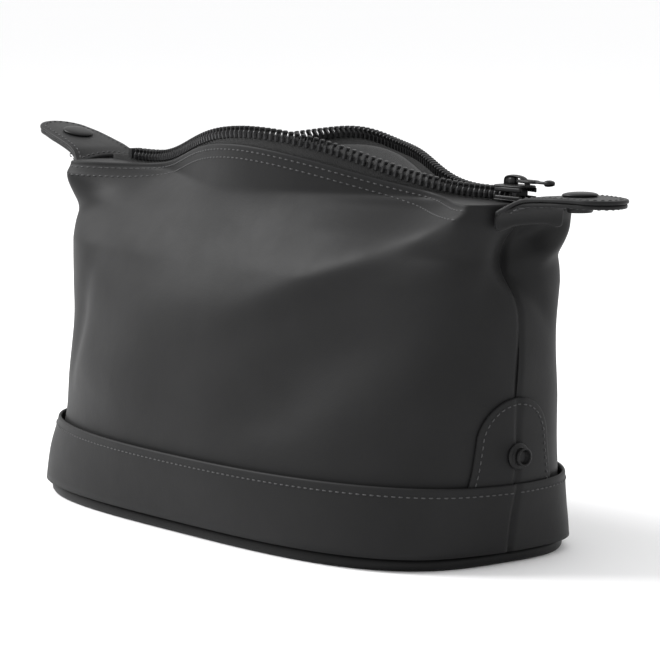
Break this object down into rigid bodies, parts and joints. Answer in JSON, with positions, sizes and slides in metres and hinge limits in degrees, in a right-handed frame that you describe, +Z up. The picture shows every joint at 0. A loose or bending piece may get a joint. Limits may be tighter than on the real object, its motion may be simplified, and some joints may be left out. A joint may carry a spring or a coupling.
{
  "type": "shaving kit bag",
  "caption": "Soft zip-top toiletry bag in matt charcoal coated fabric with a base band, open mouth, sliding zip and folding snap tabs at both ends.",
  "frame": {"origin": "middle of the base panel's underside, on the surface the bag stands on", "axes": "+Z up, +X along the length towards the end where the zip slider is parked, -Y towards the front panel"},
  "size_m": [0.4025, 0.1508, 0.1812],
  "materials": {
    "shell": "matt charcoal coated fabric",
    "band": "matt charcoal coated fabric",
    "base": "matt black wipe-clean base",
    "board": "stiffener board",
    "lining": "plain woven polyester lining",
    "zip_tape": "woven black tape",
    "zip_metal": "black oxide teeth",
    "slider_metal": "satin gunmetal",
    "tab": "matt charcoal coated leather",
    "snap_metal": "black snap fastener"
  },
  "bodies": {
    "bag": {"base_board": "board", "base_panel": "base", "floor_lining": "lining", "front_base_band": "band", "front_lining": "lining", "front_panel": "shell", "front_zip_tape": "zip_tape", "front_zip_teeth": "zip_metal", "left_end_patch": "band", "left_snap_stud": "snap_metal", "left_stud_rivet": "snap_metal", "left_tab_anchor": "tab", "rear_base_band": "band", "rear_lining": "lining", "rear_panel": "shell", "rear_zip_tape": "zip_tape", "rear_zip_teeth": "zip_metal", "right_end_patch": "band", "right_snap_stud": "snap_metal", "right_stud_rivet": "snap_metal", "right_tab_anchor": "tab", "slip_pocket": "lining", "zip_bottom_stop": "zip_metal", "zip_top_stops": "zip_metal"},
    "slider": {"zip_slider": "slider_metal"},
    "pull": {"zip_pull": "slider_metal"},
    "left_tab": {"left_tab_upper": "tab", "left_tab_under": "tab", "left_snap_cap": "snap_metal", "left_snap_socket": "snap_metal"},
    "right_tab": {"right_tab_upper": "tab", "right_tab_under": "tab", "right_snap_cap": "snap_metal", "right_snap_socket": "snap_metal"}
  },
  "joints": [
    {"name": "slider_travel", "type": "slide", "parent": "bag", "child": "slider", "axis": [-1, 0, 0], "range_m": [0, 0.258], "deforming": ["front_zip_tape", "rear_zip_tape", "front_zip_teeth", "rear_zip_teeth"]},
    {"name": "pull_flip", "type": "hinge", "parent": "slider", "child": "pull", "pos_m": [0.1436, 0, 0.165], "axis": [0, -1, 0], "range_deg": [0, 172]},
    {"name": "left_tab_fold", "type": "hinge", "parent": "bag", "child": "left_tab", "pos_m": [-0.151, 0, 0.157], "axis": [0, 1, 0], "range_deg": [-97, 15]},
    {"name": "right_tab_fold", "type": "hinge", "parent": "bag", "child": "right_tab", "pos_m": [0.151, 0, 0.157], "axis": [0, -1, 0], "range_deg": [-85, 18]}
  ]
}
